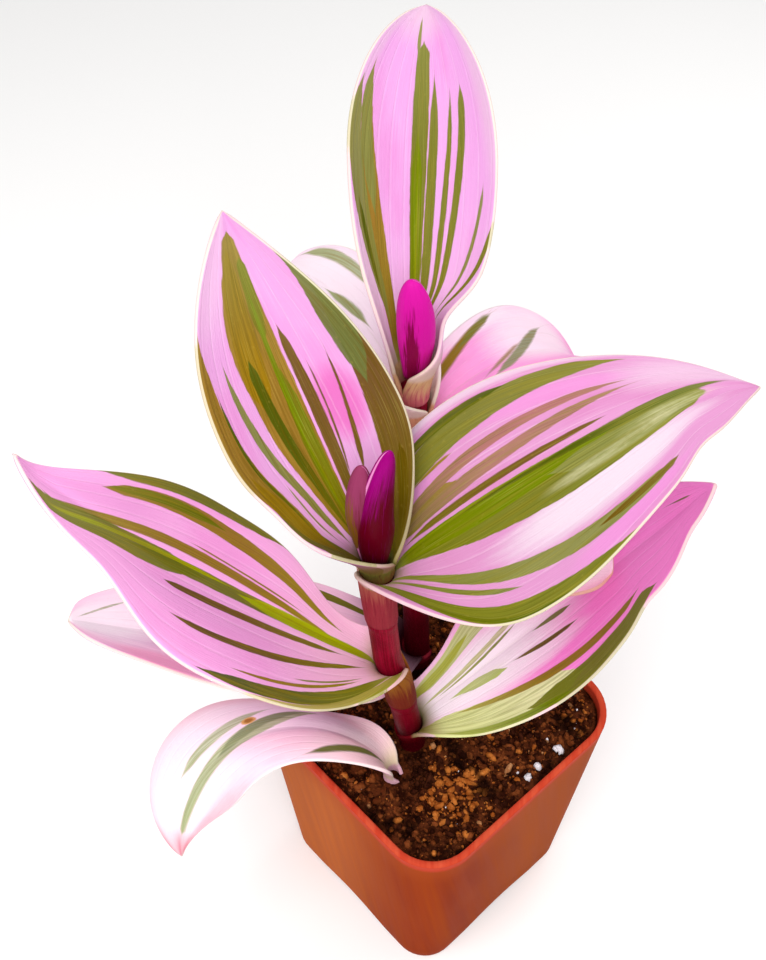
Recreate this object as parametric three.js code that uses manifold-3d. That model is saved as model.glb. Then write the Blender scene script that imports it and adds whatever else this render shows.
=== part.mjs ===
// Small striped foliage plant in a square nursery pot, filled with soil.
// Millimetres, Z up. The origin is the middle of the pot's underside and the pot's sides
// follow X and Y. The plant is laid out in its own frame, in which Y points away from the
// viewer of the reference picture, and is turned about Z at the end.

import * as THREE from 'three'
import Module from 'manifold-3d'

const wasm = await Module()
wasm.setup()

// pot
const POT_HEIGHT = 57
const RIM_SIDE = 54
const RIM_CORNER = 10
const BASE_SIDE = 45
const BASE_CORNER = 7
const WALL = 1.3
const FLOOR = 3.1
const BASE_EDGE = 0.6
const ARCH_WIDTH = 31
const ARCH_RISE = 2.3
const ARCH_DEPTH = 3
const DRAIN_RADIUS = 2.5
const DRAIN_OFFSET = 12.5

// soil
const GAP = 0.3
const SOIL_EDGE = 55.2
const SOIL_MOUND = 0.9
const SOIL_LUMP = 0.35

// plant
const PLANT_TURN = 47.4
const STEM_RADIUS = 2.5
const STEM_FOOT = 30
const SHEATH_INNER = 2.85
const SHEATH_OUTER = 3.52
const SHEATH_MOUTH = 3.85
const BLADE_START = 3.5
const SHEATH_SIDES = 16
const BLADE = 0.9
const BLADE_EDGE = 0.62
const TIP_HALF_WIDTH = 0.4
const LEAF_ROWS = 20
const LEAF_COLUMNS = 9

// centre lines of the two stems and of the low leaf's own foot, bottom to top
const FRONT_STEM = [
  [-4, -7, 30], [-4.4, -7.5, 57], [-5.4, -9, 66], [-7, -9, 76.5],
  [-9.3, -9, 88], [-10.6, -9, 104], [-11, -9, 114], [-11, -9, 122],
]
const BACK_STEM = [
  [-2.5, 9, 30], [-3, 11, 57], [-3.9, 13.5, 78], [-4.8, 17.5, 105], [-5, 20, 122], [-5, 21, 135],
]
const GROUND_FOOT = [[-8, -15, 40], [-8, -15, 70]]

// Each leaf starts at height z on its stem and leaves it towards heading, in degrees.
// swing turns the heading on the way to the tip, rise and droop set the climb in degrees,
// roll and twist tilt the blade, cup and fold bend it across, widest is the place along it
// where it is widest, base the share of the width at the stem, side the share by which the
// left half is wider than the right one, sheath the length of the tube round the stem.
const LEAF_DEFAULTS = {
  swing: 0, turn: 1, rise: 40, droop: 0, when: 1.2, length: 60, width: 34, widest: 0.4, base: 0.4,
  tip: 1, roll: 0, twist: 0, cup: 10, fold: 0, open: 0.05, side: 0, curl: 0, radius: BLADE_START,
  sheath: 3,
}
const LEAVES = {
  leaf_top: {
    stem: BACK_STEM, z: 128.5, heading: 89, swing: -3, rise: 44, droop: -20, length: 61, width: 29,
    widest: 0.5, base: 0.45, tip: 0.78, roll: 16, twist: -19, cup: 45, fold: 9, open: 0.08,
    sheath: 1.2,
  },
  leaf_upper_left: {
    stem: FRONT_STEM, z: 115.5, heading: 136, swing: -26, rise: 43, droop: 4, length: 57, width: 33,
    widest: 0.37, base: 0.46, roll: -2, twist: -2, cup: 37, fold: 8, sheath: 0.7,
  },
  leaf_upper_right: {
    stem: FRONT_STEM, z: 111.5, heading: 17, swing: -10, rise: 40, droop: -41, when: 2.1, length: 65,
    width: 40, widest: 0.33, base: 0.42, tip: 1.1, roll: 12, twist: -3, cup: 12, side: -0.14,
    sheath: 12,
  },
  leaf_middle_left: {
    stem: FRONT_STEM, z: 85, heading: 183, swing: -11, rise: 43, length: 75, width: 37, widest: 0.48,
    base: 0.36, tip: 1.4, roll: 4, twist: 4, cup: 6, fold: 3, open: 0.03, side: 0.16, curl: 40,
    sheath: 11,
  },
  leaf_low_right: {
    stem: FRONT_STEM, z: 64.5, heading: 22, swing: -14, rise: 38, droop: 16, when: 1, length: 72,
    width: 35, widest: 0.51, base: 0.3, tip: 0.93, roll: -5, twist: -7, cup: 6, fold: 3, open: 0.03,
    side: -0.08, sheath: 4,
  },
  leaf_low_left: {
    stem: BACK_STEM, z: 60.5, heading: 200, swing: -10, rise: 25, droop: 4, length: 69, width: 35,
    widest: 0.38, base: 0.3, tip: 0.48, roll: 3, twist: 18, cup: 3, fold: 8, open: 0.03, side: 0.08,
    sheath: 2.5,
  },
  leaf_ground: {
    stem: GROUND_FOOT, z: 57.5, heading: 164, swing: 98, turn: 1.5, rise: 85, droop: -170, when: 0.68,
    length: 64, width: 26, widest: 0.55, base: 0.22, tip: 1.3, roll: 56, twist: -78, cup: -42,
    fold: 4, open: 0.06, radius: 1.6, side: -0.3, sheath: 8,
  },
  leaf_back_left: {
    stem: BACK_STEM, z: 120.8, heading: 122, swing: 4, rise: 33, droop: -65, when: 0.95, length: 41,
    width: 20, widest: 0.38, base: 0.8, tip: 0.4, twist: -10, cup: 26, fold: 9, open: 0.06, side: 0.1,
    sheath: 1,
  },
  leaf_back_right: {
    stem: BACK_STEM, z: 114, heading: 42, swing: 7, rise: 20, droop: -80, when: 0.85, length: 55,
    width: 20, widest: 0.5, base: 0.42, roll: 9, twist: -2, cup: 30, fold: 10, open: 0.06, sheath: 11,
  },
  leaf_small_right: {
    stem: BACK_STEM, z: 83.5, heading: -25, rise: 37, droop: -24, length: 38.5, width: 20,
    widest: 0.45, tip: 0.4, roll: 4, cup: 16, fold: 4, sheath: 9,
  },
}

// rolled young leaves: foot, tip, widest half width, how flat they are and how far they bow
// to the left between foot and tip
const BUDS = {
  bud_front: [
    { foot: [-11.3, -9, 116.4], tip: [-9.2, -9.3, 141], half: 2.75, flat: 0.8, bow: 0.6 },
    { foot: [-11.8, -8.4, 117], tip: [-12.8, -8.2, 137.5], half: 2.7, flat: 0.75, bow: 0.5 },
  ],
  bud_back: [
    { foot: [-4.9, 20.8, 129.6], tip: [-5.4, 20.6, 147.5], half: 3, flat: 0.78, bow: -0.5 },
  ],
}
const BUD_ROWS = 10

const PINK = 0xeba0dc
const COLOURS = {
  pot: 0xd9572e, soil: 0x3b2418, stem: 0x8e1236, bud: 0xb3128f,
}

const rad = THREE.MathUtils.degToRad
const clamp = THREE.MathUtils.clamp
const lerp = THREE.MathUtils.lerp

// point of a centre line at height z
function along(path, z) {
  let i = 1
  while (i < path.length - 1 && path[i][2] < z) i += 1
  const [ax, ay, az] = path[i - 1]
  const [bx, by, bz] = path[i]
  const k = (z - az) / (bz - az)
  return new THREE.Vector3(lerp(ax, bx, k), lerp(ay, by, k), z)
}

// ring of points round a square with rounded corners, anticlockwise seen from above
function roundedSquare(half, corner, z, arc = 6, straight = 1) {
  const ring = []
  for (let side = 0; side < 4; side += 1) {
    const start = side * Math.PI / 2
    const cx = (half - corner) * Math.SQRT2 * Math.cos(start + Math.PI / 4)
    const cy = (half - corner) * Math.SQRT2 * Math.sin(start + Math.PI / 4)
    for (let i = 0; i <= arc; i += 1) {
      const a = start + (i / arc) * Math.PI / 2
      ring.push(new THREE.Vector3(cx + corner * Math.cos(a), cy + corner * Math.sin(a), z))
    }
    const last = ring[ring.length - 1]
    const next = start + Math.PI / 2
    const dir = new THREE.Vector3(-Math.sin(next), Math.cos(next), 0)
    for (let i = 1; i < straight; i += 1) {
      ring.push(last.clone().addScaledVector(dir, (2 * (half - corner) * i) / straight))
    }
  }
  return ring
}

// ring of points round a circle, or an ellipse when flat is below 1
function circle(centre, radius, count = 20, flat = 1) {
  const ring = []
  for (let i = 0; i < count; i += 1) {
    const a = (i / count) * 2 * Math.PI
    ring.push(new THREE.Vector3(
      centre.x + radius * Math.cos(a), centre.y + flat * radius * Math.sin(a), centre.z))
  }
  return ring
}

function middle(ring) {
  const sum = new THREE.Vector3()
  ring.forEach((p) => sum.add(p))
  return sum.divideScalar(ring.length)
}

// closed skin over rings that have the same number of points
function loft(rings) {
  const n = rings[0].length
  const points = rings.flat()
  const faces = []
  for (let r = 0; r < rings.length - 1; r += 1) {
    for (let i = 0; i < n; i += 1) {
      const a = r * n + i
      const b = r * n + ((i + 1) % n)
      faces.push([a, b, b + n], [a, b + n, a + n])
    }
  }
  const first = points.push(middle(rings[0])) - 1
  const last = points.push(middle(rings[rings.length - 1])) - 1
  const top = (rings.length - 1) * n
  for (let i = 0; i < n; i += 1) {
    const j = (i + 1) % n
    faces.push([first, j, i], [last, top + i, top + j])
  }
  return solid(points, faces)
}

function solid(points, faces) {
  const mesh = new wasm.Mesh({
    numProp: 3,
    vertProperties: new Float32Array(points.flatMap((p) => [p.x, p.y, p.z])),
    triVerts: new Uint32Array(faces.flat()),
  })
  return new wasm.Manifold(mesh)
}

// solid from one of three's own closed shapes
function fromGeometry(geometry) {
  const source = geometry.index ? geometry.toNonIndexed() : geometry
  const position = source.attributes.position
  const points = []
  const faces = []
  const seen = new Map()
  for (let i = 0; i < position.count; i += 3) {
    const face = []
    for (let k = 0; k < 3; k += 1) {
      const p = new THREE.Vector3().fromBufferAttribute(position, i + k)
      const key = [p.x, p.y, p.z].map((v) => Math.round(v * 1e4)).join()
      if (!seen.has(key)) seen.set(key, points.push(p) - 1)
      face.push(seen.get(key))
    }
    if (new Set(face).size === 3) faces.push(face)
  }
  return solid(points, faces)
}

function tube(path, z0, z1, radius, count = 20, top = radius) {
  const rings = []
  const steps = Math.max(1, Math.ceil((z1 - z0) / 8))
  for (let i = 0; i <= steps; i += 1) {
    rings.push(circle(along(path, lerp(z0, z1, i / steps)), lerp(radius, top, i / steps), count))
  }
  return loft(rings)
}

// pot: one skin from the underside over the rim and down to the floor inside
function potRing(z, inset) {
  const k = z / POT_HEIGHT
  const half = lerp(BASE_SIDE, RIM_SIDE, k) / 2 - inset
  const corner = Math.max(2, lerp(BASE_CORNER, RIM_CORNER, k) - inset)
  return roundedSquare(half, corner, z, 6)
}

function makePot() {
  const rings = [potRing(0, BASE_EDGE), potRing(BASE_EDGE, 0)]
  const round = WALL / 2
  for (let i = 0; i <= 6; i += 1) {
    const a = (i / 6) * Math.PI
    rings.push(potRing(POT_HEIGHT - round + round * Math.sin(a), round - round * Math.cos(a)))
  }
  rings.push(potRing(FLOOR + 1.2, WALL), potRing(FLOOR, WALL + 1.2))
  let pot = loft(rings)
  const arch = new THREE.Shape()
  arch.moveTo(-ARCH_WIDTH / 2, -1)
  arch.lineTo(ARCH_WIDTH / 2, -1)
  for (let i = 12; i >= 0; i -= 1) {
    const x = ARCH_WIDTH * (i / 12 - 0.5)
    arch.lineTo(x, ARCH_RISE * (0.5 + 0.5 * Math.cos((2 * Math.PI * x) / ARCH_WIDTH)))
  }
  for (let side = 0; side < 4; side += 1) {
    const cut = new THREE.ExtrudeGeometry(arch, { depth: ARCH_DEPTH + 2, bevelEnabled: false })
    cut.rotateX(Math.PI / 2)
    cut.translate(0, -BASE_SIDE / 2 + ARCH_DEPTH, 0)
    cut.rotateZ(side * Math.PI / 2)
    pot = pot.subtract(fromGeometry(cut))
    const hole = new THREE.CylinderGeometry(DRAIN_RADIUS, DRAIN_RADIUS, FLOOR + 2, 20)
    hole.rotateX(Math.PI / 2)
    hole.translate(DRAIN_OFFSET, DRAIN_OFFSET, FLOOR / 2)
    hole.rotateZ(side * Math.PI / 2)
    pot = pot.subtract(fromGeometry(hole))
  }
  return pot
}

// soil: an uneven top, flat sides that follow the pot, plain holes for the stems
function soilRing(share, z) {
  const k = z / POT_HEIGHT
  const inset = WALL + GAP
  const half = lerp(BASE_SIDE, RIM_SIDE, k) / 2 - inset
  const corner = Math.max(2, lerp(BASE_CORNER, RIM_CORNER, k) - inset)
  const ring = roundedSquare(half, corner, z, 5, 5)
  ring.forEach((p) => p.multiply(new THREE.Vector3(share, share, 1)))
  return ring
}

function makeSoil() {
  const rings = [soilRing(1, FLOOR + GAP + 1.2)]
  rings.unshift(soilRing(0.95, FLOOR + GAP))
  for (const share of [1, 0.93, 0.82, 0.7, 0.57, 0.44, 0.3, 0.15]) {
    const ring = soilRing(share, SOIL_EDGE)
    if (share < 1) {
      ring.forEach((p) => {
        const lumps = Math.sin(0.55 * p.x + 0.3 * p.y) * Math.cos(0.42 * p.y - 0.25 * p.x)
        p.z += SOIL_MOUND * (1 - share * share) + SOIL_LUMP * lumps
      })
    }
    rings.push(ring)
  }
  return loft(rings)
}

// upright stem with a rounded top
function makeStem(path, top, radius) {
  const rings = []
  const count = 10
  for (let i = 0; i <= count; i += 1) {
    rings.push(circle(along(path, lerp(STEM_FOOT, top - 1, i / count)), radius, 20))
  }
  rings.push(circle(along(path, top - 0.35), radius * 0.8, 20))
  rings.push(circle(along(path, top), radius * 0.45, 20))
  return loft(rings)
}

// share of the half width at s along the blade
function halfWidth(s, leaf) {
  if (s < leaf.widest) {
    const k = 1 - s / leaf.widest
    return leaf.base + (1 - leaf.base) * (1 - k ** 2.2)
  }
  const k = (s - leaf.widest) / (1 - leaf.widest)
  return clamp(1 - k * k, 0, 1) ** leaf.tip
}

// middle surface of a blade: rows from the stem to the tip, columns from right to left
function bladeSheet(leaf) {
  const opening = (s) => Math.exp(-s / leaf.open)
  const frame = (s) => {
    const h = rad(leaf.heading + leaf.swing * s ** leaf.turn)
    const climb = leaf.rise + leaf.droop * s ** leaf.when + (82 - leaf.rise) * opening(s)
    const e = rad(climb + leaf.curl * clamp((s - 0.88) / 0.12, 0, 1) ** 1.5)
    const out = new THREE.Vector3(Math.cos(h) * Math.cos(e), Math.sin(h) * Math.cos(e), Math.sin(e))
    const left = new THREE.Vector3(-Math.sin(h), Math.cos(h), 0)
    const up = out.clone().cross(left)
    const roll = rad(leaf.roll * (1 - Math.exp(-s / 0.1)) + leaf.twist * s)
    return {
      out,
      left: left.clone().multiplyScalar(Math.cos(roll)).addScaledVector(up, Math.sin(roll)),
      up: up.clone().multiplyScalar(Math.cos(roll)).addScaledVector(left, -Math.sin(roll)),
    }
  }
  const start = rad(leaf.heading)
  const mid = along(leaf.stem, leaf.z)
  mid.add(new THREE.Vector3(Math.cos(start), Math.sin(start), 0).multiplyScalar(leaf.radius))
  const rows = []
  const fine = 4
  const step = leaf.length / ((LEAF_ROWS - 1) * fine)
  for (let r = 0; r < LEAF_ROWS; r += 1) {
    const s = r / (LEAF_ROWS - 1)
    const f = frame(s)
    const w = Math.max(TIP_HALF_WIDTH, (leaf.width / 2) * halfWidth(s, leaf))
    const bend = rad(leaf.cup) + (w / leaf.radius - rad(leaf.cup)) * opening(s)
    const g = Math.abs(bend) < 0.001 ? 0.001 : bend
    const fold = rad(leaf.fold) * (1 - Math.exp(-s / 0.15))
    const row = []
    for (let c = 0; c < LEAF_COLUMNS; c += 1) {
      const t = -1 + (2 * c) / (LEAF_COLUMNS - 1)
      const ww = w * (1 + leaf.side * Math.sign(t) * (1 - Math.exp(-s / 0.12)))
      const across = (Math.sin(g * t) / g) * ww
      const lift = ((1 - Math.cos(g * t)) / g) * ww
      const a = across * Math.cos(fold) - lift * Math.sin(fold) * Math.sign(t)
      const b = lift * Math.cos(fold) + Math.abs(across) * Math.sin(fold)
      row.push(mid.clone().addScaledVector(f.left, a).addScaledVector(f.up, b))
    }
    rows.push(row)
    for (let i = 0; i < fine; i += 1) {
      const s2 = (r + (i + 0.5) / fine) / (LEAF_ROWS - 1)
      if (s2 < 1) mid.addScaledVector(frame(s2).out, step)
    }
  }
  return rows
}

// blade of even thickness round its middle surface, thinner along the margins
function makeBlade(leaf) {
  const rows = bladeSheet(leaf)
  const nr = rows.length
  const nc = rows[0].length
  const upper = []
  const lower = []
  for (let r = 0; r < nr; r += 1) {
    for (let c = 0; c < nc; c += 1) {
      const dr = rows[Math.min(r + 1, nr - 1)][c].clone().sub(rows[Math.max(r - 1, 0)][c])
      const dc = rows[r][Math.min(c + 1, nc - 1)].clone().sub(rows[r][Math.max(c - 1, 0)])
      const normal = dr.cross(dc).normalize()
      const edge = c === 0 || c === nc - 1 || r === nr - 1
      const half = (edge ? BLADE_EDGE : BLADE) / 2
      upper.push(rows[r][c].clone().addScaledVector(normal, half))
      lower.push(rows[r][c].clone().addScaledVector(normal, -half))
    }
  }
  const count = nr * nc
  const faces = []
  for (let r = 0; r < nr - 1; r += 1) {
    for (let c = 0; c < nc - 1; c += 1) {
      const a = r * nc + c
      const b = a + 1
      const d = a + nc
      const e = d + 1
      faces.push([a, d, e], [a, e, b])
      faces.push([a + count, e + count, d + count], [a + count, b + count, e + count])
    }
  }
  const border = []
  for (let c = 0; c < nc; c += 1) border.push(c)
  for (let r = 1; r < nr; r += 1) border.push(r * nc + nc - 1)
  for (let c = nc - 2; c >= 0; c -= 1) border.push((nr - 1) * nc + c)
  for (let r = nr - 2; r > 0; r -= 1) border.push(r * nc)
  border.forEach((a, i) => {
    const b = border[(i + 1) % border.length]
    faces.push([a, b, b + count], [a, b + count, a + count])
  })
  return solid(upper.concat(lower), faces)
}

// leaf: blade joined to the tube that wraps its stem
function makeLeaf(spec) {
  const leaf = { ...LEAF_DEFAULTS, ...spec }
  const blade = makeBlade(leaf)
  if (leaf.stem === GROUND_FOOT) {
    return blade.add(tube(leaf.stem, leaf.z - leaf.sheath, leaf.z + 0.6, leaf.radius + 0.15, 14))
  }
  const sheath = tube(
    leaf.stem, leaf.z - leaf.sheath, leaf.z + 0.4, SHEATH_OUTER, SHEATH_SIDES, SHEATH_MOUTH)
  const bore = tube(leaf.stem, leaf.z - leaf.sheath - 2, leaf.z + 6, SHEATH_INNER, SHEATH_SIDES)
  return blade.add(sheath).subtract(bore)
}

function spear({ foot, tip, half, flat, bow }) {
  const a = new THREE.Vector3(...foot)
  const b = new THREE.Vector3(...tip)
  const rings = []
  for (let i = 0; i <= BUD_ROWS; i += 1) {
    const s = i / BUD_ROWS
    const low = 0.72 + 0.28 * Math.sin(Math.min(s / 0.45, 1) * Math.PI / 2)
    const high = Math.sqrt(clamp(1 - ((s - 0.45) / 0.56) ** 2, 0, 1))
    const share = s < 0.45 ? low : high
    const centre = a.clone().lerp(b, s)
    centre.x -= bow * Math.sin(Math.PI * s)
    rings.push(circle(centre, Math.max(0.25, half * share), 16, flat))
  }
  return loft(rings)
}

// plain hole in the soil round a centre line, turned with the plant
function holeIn(path, radius, foot) {
  const axis = new THREE.Vector3(0, 0, 1)
  const turned = path.map((p) => new THREE.Vector3(...p).applyAxisAngle(axis, rad(PLANT_TURN)).toArray())
  return tube(turned, foot - GAP, 60, radius + GAP + 0.05, 20)
}

const group = new THREE.Group()

// put a finished solid into the group as a named mesh, turned with the plant unless told not to
function place(name, body, colour, roughness, turned = true) {
  const out = body.getMesh()
  const geometry = new THREE.BufferGeometry()
  const flat = new Float32Array(out.numVert * 3)
  for (let i = 0; i < out.numVert; i += 1) {
    for (let k = 0; k < 3; k += 1) flat[3 * i + k] = out.vertProperties[i * out.numProp + k]
  }
  geometry.setAttribute('position', new THREE.BufferAttribute(flat, 3))
  geometry.setIndex(new THREE.BufferAttribute(new Uint32Array(out.triVerts), 1))
  if (turned) geometry.rotateZ(rad(PLANT_TURN))
  geometry.computeVertexNormals()
  const material = new THREE.MeshStandardMaterial({ color: colour, roughness, metalness: 0 })
  const mesh = new THREE.Mesh(geometry, material)
  mesh.name = name
  group.add(mesh)
}

place('pot', makePot(), COLOURS.pot, 0.35, false)

const groundLeaf = LEAVES.leaf_ground
const holes = [
  holeIn(FRONT_STEM, STEM_RADIUS, STEM_FOOT),
  holeIn(BACK_STEM, STEM_RADIUS, STEM_FOOT),
  holeIn(GROUND_FOOT, groundLeaf.radius + 0.15, groundLeaf.z - groundLeaf.sheath),
]
const soil = holes.reduce((rest, hole) => rest.subtract(hole), makeSoil())
place('soil', soil, COLOURS.soil, 0.95, false)

place('stem_front', makeStem(FRONT_STEM, 116, STEM_RADIUS), COLOURS.stem, 0.45)
place('stem_back', makeStem(BACK_STEM, 129, STEM_RADIUS), COLOURS.stem, 0.45)

for (const [name, spec] of Object.entries(LEAVES)) {
  place(name, makeLeaf(spec), PINK, 0.4)
}

for (const [name, spears] of Object.entries(BUDS)) {
  place(name, spears.map(spear).reduce((whole, next) => whole.add(next)), COLOURS.bud, 0.4)
}

export default group
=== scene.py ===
# %% [markdown]
# # A striped foliage plant in a small square pot
# This file dresses a potted plant that was first built as plain solids. The solids give every
# size. Here each piece gets its fine shape and its finish: fleshy leaves with stripes that
# follow their veins, crimson stems inside pale leaf sheaths, rolled young shoots, crumbly
# potting mix and a moulded plastic pot.

# %% Load the plain solids
import random
from math import atan2, cos, exp, hypot, pi, radians, sin, sqrt, tau
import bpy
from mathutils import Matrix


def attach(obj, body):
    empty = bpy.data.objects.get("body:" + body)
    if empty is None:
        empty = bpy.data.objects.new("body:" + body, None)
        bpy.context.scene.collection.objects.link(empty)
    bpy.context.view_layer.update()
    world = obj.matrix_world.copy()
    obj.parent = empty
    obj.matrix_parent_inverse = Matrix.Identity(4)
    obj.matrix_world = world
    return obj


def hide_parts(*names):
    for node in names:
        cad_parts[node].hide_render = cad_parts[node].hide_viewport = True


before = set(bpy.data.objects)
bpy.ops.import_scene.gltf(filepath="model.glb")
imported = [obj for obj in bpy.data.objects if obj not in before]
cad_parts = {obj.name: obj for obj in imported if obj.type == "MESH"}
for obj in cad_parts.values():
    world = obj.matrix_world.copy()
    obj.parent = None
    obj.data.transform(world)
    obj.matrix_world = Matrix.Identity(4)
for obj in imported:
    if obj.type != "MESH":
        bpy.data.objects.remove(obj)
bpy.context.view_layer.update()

from types import SimpleNamespace

import bmesh
import bpy
from mathutils import Matrix, Vector, noise

MM = 0.001

# %% [markdown]
# The plant was measured in a frame of its own, in which Y points straight away from the
# camera. The pot's sides follow the scene's X and Y, so the plant is turned about the upright
# axis. Sizes below are in millimetres, as a maker would write them, and become metres in one
# place only.

# %% From the plant's millimetres to the scene's metres
PLANT_TURN = 47.4
TURN = Matrix.Rotation(radians(PLANT_TURN), 4, "Z")


def place(x, y, z):
    """A point of the plant, in millimetres, as a point of the scene, in metres."""
    return (TURN @ Vector((x, y, z))) * MM


def clip(value):
    return max(0.0, min(1.0, value))


def ease(value, start, end):
    """0 before start, 1 after end, and a smooth rise between them."""
    k = clip((value - start) / (end - start))
    return k * k * (3 - 2 * k)


def level(angle):
    """The level direction at an angle, in radians, from the plant's X."""
    return Vector((cos(angle), sin(angle), 0))


def add_object(name, data):
    """A new object in the scene, from a camera's or a lamp's data or from a bmesh."""
    if isinstance(data, bmesh.types.BMesh):
        bm, data = data, bpy.data.meshes.new(name)
        bm.to_mesh(data)
        bm.free()
    made = bpy.data.objects.new(name, data)
    bpy.context.scene.collection.objects.link(made)
    return made


# %% [markdown]
# The camera comes first. It looks down on the plant from the front corner of the pot, as
# somebody who stands over a table would.

# %% Camera
CAMERA_PLACE = (-10.0, -130.7, 275.7)
CAMERA_PITCH = 49.2
FOCAL_PIXELS = 1272
PICTURE_HEIGHT = 960
SENSOR = 36.0

lens_data = bpy.data.cameras.new("camera")
lens_data.sensor_width = SENSOR
lens_data.lens = SENSOR * FOCAL_PIXELS / PICTURE_HEIGHT
camera = add_object("camera", lens_data)
camera.location = place(*CAMERA_PLACE)
camera.rotation_euler = (radians(90 - CAMERA_PITCH), 0, radians(PLANT_TURN))
bpy.context.scene.camera = camera
print("camera lens:", round(lens_data.lens, 1), "mm")

# %% [markdown]
# ## Writing materials as sums
# Every finish here is made of nodes. Wiring dozens of them by hand is hard to read, so a small
# class stands for one socket and lets Python's own signs make the Math nodes: 1 - mask is a
# Subtract node. A second class holds one material and makes any other node.

# %% Sockets that add up
def both_ways(operation):
    """One sign's two methods: for a wire on the left of it, and on the right."""
    return (lambda wire, other: wire.finish.math(operation, wire, other),
            lambda wire, other: wire.finish.math(operation, other, wire))


class Wire:
    """One output socket, which + - * / and ** turn into Math nodes."""

    def __init__(self, finish, socket):
        self.finish = finish
        self.socket = socket

    def __getitem__(self, output):
        return Wire(self.finish, self.socket.node.outputs[output])

    __add__, __radd__ = both_ways("ADD")
    __sub__, __rsub__ = both_ways("SUBTRACT")
    __mul__, __rmul__ = both_ways("MULTIPLY")
    __truediv__, __rtruediv__ = both_ways("DIVIDE")
    __pow__, __rpow__ = both_ways("POWER")

    def __abs__(self):
        return self.math("ABSOLUTE")

    def math(self, operation, *others):
        return self.finish.math(operation, self, *others)

    def step(self, start, end):
        """0 on the start side, 1 past the end, smooth between; start may be above end."""
        return self.finish.node("MapRange", {"interpolation_type": "SMOOTHSTEP"}, Value=self,
                                From_Min=start, From_Max=end)


class Finish:
    """One material with its nodes."""

    def __init__(self, name, **constants):
        self.material = bpy.data.materials.new(name)
        self.material.use_nodes = True
        self.tree = self.material.node_tree
        self.skin = self.tree.nodes["Principled BSDF"]
        for socket, value in constants.items():
            self.feed(self.skin.inputs[socket.replace("_", " ")], value)

    def node(self, kind, settings=None, **values):
        """Any node: its settings first, then values or wires for its sockets."""
        made = self.tree.nodes.new("ShaderNode" + kind)
        for key, value in (settings or {}).items():
            setattr(made, key, value)
        for key, value in values.items():
            numbered = key[1:].isdigit()
            self.feed(made.inputs[int(key[1:]) if numbered else key.replace("_", " ")], value)
        return Wire(self, made.outputs[0])

    def feed(self, socket, value):
        """Gives a socket a wire or a fixed value. Brackets with a wire in them become a
        vector, and three plain numbers are a colour from a paint chart."""
        if isinstance(value, tuple):
            wired = any(isinstance(part, Wire) for part in value)
            value = self.node("CombineXYZ", **dict(zip("XYZ", value))) if wired \
                else tint(*value)
        if isinstance(value, Wire):
            self.tree.links.new(value.socket, socket)
        else:
            socket.default_value = value

    def math(self, operation, *values):
        inputs = {"i%d" % i: value for i, value in enumerate(values)}
        return self.node("Math", {"operation": operation}, **inputs)

    def paint(self, colour, *coats):
        """A colour under coats, each a colour and the share of it that shows."""
        for coat, share in coats:
            colour = self.node("Mix", {"data_type": "RGBA"}, i0=share, i6=colour, i7=coat)[2]
        return colour

    def noise(self, spot, scale, detail=2.0, roughness=0.5):
        return self.node("TexNoise", Vector=spot, Scale=scale, Detail=detail,
                         Roughness=roughness)

    def uv(self, name):
        """The two numbers of one of the mesh's own maps."""
        parts = self.node("SeparateXYZ", Vector=self.node("UVMap", {"uv_map": name}))
        return parts["X"], parts["Y"]

    def object_place(self):
        return self.node("TexCoord")["Object"]

    def show(self, colour, roughness, height, distance, strength=0.5):
        """Puts a colour, a roughness and a relief on the skin."""
        relief = self.node("Bump", Height=height, Distance=distance, Strength=strength)
        skin = {"Base Color": colour, "Roughness": roughness, "Normal": relief["Normal"]}
        for socket, value in skin.items():
            self.feed(self.skin.inputs[socket], value)
        return self


def tint(red, green, blue):
    """A colour as a paint chart gives it, 0 to 255, in the linear light that shaders use."""
    linear = []
    for value in (red, green, blue):
        k = value / 255
        linear.append(k / 12.92 if k <= 0.04045 else ((k + 0.055) / 1.055) ** 2.4)
    return (*linear, 1.0)


print("pink as the shader sees it:", [round(v, 3) for v in tint(248, 170, 235)])

# %% [markdown]
# ## Keeping the pieces in order
# Each finished mesh becomes an object at the origin. It rides on the pot's one body, stands for
# a plain solid where there is one, and takes the finishes it is given.

# %% Turning a mesh into a piece
def piece(name, bm, finishes, replaced=None):
    for face in bm.faces:
        face.smooth = True
    made = add_object(name, bm)
    for finish in finishes:
        made.data.materials.append(finish.material)
    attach(made, "root")
    if replaced:
        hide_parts(replaced)
    return made


def refine(made):
    smooth = made.modifiers.new("refine", "SUBSURF")
    smooth.levels = smooth.render_levels = 1
    smooth.uv_smooth = "NONE"


# %% [markdown]
# ## Stems
# Two thick stems carry everything. Each is a fleshy rod with a low ring, the node, under every
# leaf. The heights of the centre line's points are the ones the solids use, so the stems and
# the leaves meet where the solids do.

# %% Centre lines
FRONT_STEM = [(-4, -7, 30), (-4.4, -7.5, 57), (-5.4, -9, 66), (-7, -9, 76.5),
              (-9.3, -9, 88), (-10.6, -9, 104), (-11, -9, 114), (-11, -9, 122)]
BACK_STEM = [(-2.5, 9, 30), (-3, 11, 57), (-3.9, 13.5, 78), (-4.8, 17.5, 105),
             (-5, 20, 122), (-5, 21, 135)]
GROUND_FOOT = [(-8, -15, 40), (-8, -15, 70)]
STEM_RADIUS = 2.5
BLADE_START = 3.5
SHEATH_FOOT = 2.5


def along(path, z):
    """The point of a centre line at height z."""
    i = 1
    while i < len(path) - 1 and path[i][2] < z:
        i += 1
    (ax, ay, az), (bx, by, bz) = path[i - 1], path[i]
    k = (z - az) / (bz - az)
    return Vector((ax + (bx - ax) * k, ay + (by - ay) * k, z))


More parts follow.
